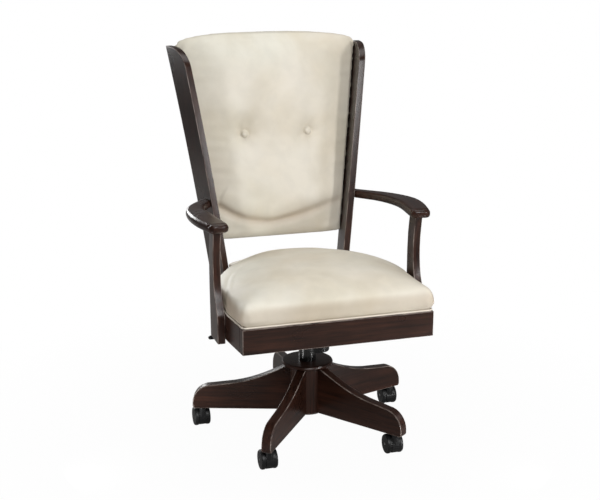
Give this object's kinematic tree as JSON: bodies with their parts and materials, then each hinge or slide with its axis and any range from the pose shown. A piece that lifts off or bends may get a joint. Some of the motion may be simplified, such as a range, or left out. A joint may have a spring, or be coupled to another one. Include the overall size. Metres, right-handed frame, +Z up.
{
  "type": "swivel desk chair",
  "caption": "Wooden swivel desk chair with padded seat, tall padded back between splayed side boards, bent arms and a wheeled star base.",
  "frame": {"origin": "middle of the outline, at the floor the casters stand on", "axes": "+Z up, the sitter faces -Y, +X to the right of someone looking at the chair from the front"},
  "size_m": [0.68, 0.7319, 1.134],
  "materials": {
    "espresso_wood": "satin stain and lacquer",
    "cream_leather": "soft mottled leather over foam",
    "black_plastic": "satin moulded",
    "black_steel": "black gloss powder coat",
    "bright_steel": "bright turned",
    "plywood": "raw sheet"
  },
  "bodies": {
    "base": {"hub": "espresso_wood", "hub_disc": "espresso_wood", "leg_1": "espresso_wood", "leg_2": "espresso_wood", "leg_3": "espresso_wood", "leg_4": "espresso_wood", "leg_5": "espresso_wood", "column_tube": "black_steel", "guide_bushing": "black_plastic", "thrust_bearing": "bright_steel"},
    "column_core": {"piston_rod": "bright_steel"},
    "carriage": {"gas_cylinder": "black_steel", "mechanism_housing": "black_steel", "tilt_shaft": "bright_steel", "tension_spring": "bright_steel", "lever_pin": "bright_steel"},
    "valve_pin": {"release_pin": "bright_steel"},
    "knob": {"tension_knob": "black_plastic", "tension_bolt": "bright_steel"},
    "lever": {"height_lever": "black_steel", "lever_grip": "black_plastic"},
    "seat": {"seat_plate": "black_steel", "seat_board": "plywood", "front_apron": "espresso_wood", "rear_apron": "espresso_wood", "side_apron_left": "espresso_wood", "side_apron_right": "espresso_wood", "seat_cushion": "cream_leather", "seat_welt": "cream_leather", "back_post_left": "espresso_wood", "back_post_right": "espresso_wood", "back_board": "plywood", "back_cover": "cream_leather", "back_cushion": "cream_leather", "button_left": "cream_leather", "button_right": "cream_leather", "arm_left": "espresso_wood", "arm_right": "espresso_wood", "arm_support_left": "espresso_wood", "arm_support_right": "espresso_wood"},
    "caster_1_fork": {"caster_1_yoke": "black_plastic"},
    "caster_1_wheels": {"caster_1_wheel_left": "black_plastic", "caster_1_wheel_right": "black_plastic", "caster_1_axle": "bright_steel"},
    "caster_2_fork": {"caster_2_yoke": "black_plastic"},
    "caster_2_wheels": {"caster_2_wheel_left": "black_plastic", "caster_2_wheel_right": "black_plastic", "caster_2_axle": "bright_steel"},
    "caster_3_fork": {"caster_3_yoke": "black_plastic"},
    "caster_3_wheels": {"caster_3_wheel_left": "black_plastic", "caster_3_wheel_right": "black_plastic", "caster_3_axle": "bright_steel"},
    "caster_4_fork": {"caster_4_yoke": "black_plastic"},
    "caster_4_wheels": {"caster_4_wheel_left": "black_plastic", "caster_4_wheel_right": "black_plastic", "caster_4_axle": "bright_steel"},
    "caster_5_fork": {"caster_5_yoke": "black_plastic"},
    "caster_5_wheels": {"caster_5_wheel_left": "black_plastic", "caster_5_wheel_right": "black_plastic", "caster_5_axle": "bright_steel"}
  },
  "joints": [
    {"name": "seat_swivel", "type": "hinge", "parent": "base", "child": "column_core", "pos_m": [0, -0.077, 0.066], "axis": [0, 0, 1], "continuous": true},
    {"name": "seat_lift", "type": "slide", "parent": "column_core", "child": "carriage", "axis": [0, 0, 1], "range_m": [0, 0.095]},
    {"name": "seat_tilt", "type": "hinge", "parent": "carriage", "child": "seat", "pos_m": [0, -0.122, 0.334], "axis": [-1, 0, 0], "range_deg": [0, 11.4], "stiffness_Nm_per_rad": 120, "springref_deg": -17.19},
    {"name": "tension_turn", "type": "hinge", "parent": "carriage", "child": "knob", "pos_m": [0, -0.177, 0.3005], "axis": [0, 0, 1], "continuous": true},
    {"name": "height_lever_lift", "type": "hinge", "parent": "carriage", "child": "lever", "pos_m": [-0.058, -0.077, 0.3348], "axis": [0, 1, 0], "range_deg": [0, 3.4]},
    {"name": "valve_press", "type": "slide", "parent": "carriage", "child": "valve_pin", "axis": [0, 0, -1], "range_m": [0, 0.0035]},
    {"name": "caster_1_swivel", "type": "hinge", "parent": "base", "child": "caster_1_fork", "pos_m": [0.00543, 0.23395, 0], "axis": [0, 0, 1], "continuous": true},
    {"name": "caster_1_roll", "type": "hinge", "parent": "caster_1_fork", "child": "caster_1_wheels", "pos_m": [0.00543, 0.25395, 0.028], "axis": [1, 0, 0], "continuous": true},
    {"name": "caster_2_swivel", "type": "hinge", "parent": "base", "child": "caster_2_fork", "pos_m": [-0.29406, 0.02425, 0], "axis": [0, 0, 1], "continuous": true},
    {"name": "caster_2_roll", "type": "hinge", "parent": "caster_2_fork", "child": "caster_2_wheels", "pos_m": [-0.29406, 0.04425, 0.028], "axis": [1, 0, 0], "continuous": true},
    {"name": "caster_3_swivel", "type": "hinge", "parent": "base", "child": "caster_3_fork", "pos_m": [-0.18716, -0.32538, 0], "axis": [0, 0, 1], "continuous": true},
    {"name": "caster_3_roll", "type": "hinge", "parent": "caster_3_fork", "child": "caster_3_wheels", "pos_m": [-0.18716, -0.30538, 0.028], "axis": [1, 0, 0], "continuous": true},
    {"name": "caster_4_swivel", "type": "hinge", "parent": "base", "child": "caster_4_fork", "pos_m": [0.17838, -0.33176, 0], "axis": [0, 0, 1], "continuous": true},
    {"name": "caster_4_roll", "type": "hinge", "parent": "caster_4_fork", "child": "caster_4_wheels", "pos_m": [0.17838, -0.31176, 0.028], "axis": [1, 0, 0], "continuous": true},
    {"name": "caster_5_swivel", "type": "hinge", "parent": "base", "child": "caster_5_fork", "pos_m": [0.29741, 0.01393, 0], "axis": [0, 0, 1], "continuous": true},
    {"name": "caster_5_roll", "type": "hinge", "parent": "caster_5_fork", "child": "caster_5_wheels", "pos_m": [0.29741, 0.03393, 0.028], "axis": [1, 0, 0], "continuous": true}
  ],
  "couplings": [
    {"joint": "valve_press", "follows": "height_lever_lift", "m_per_rad": 0.058}
  ]
}
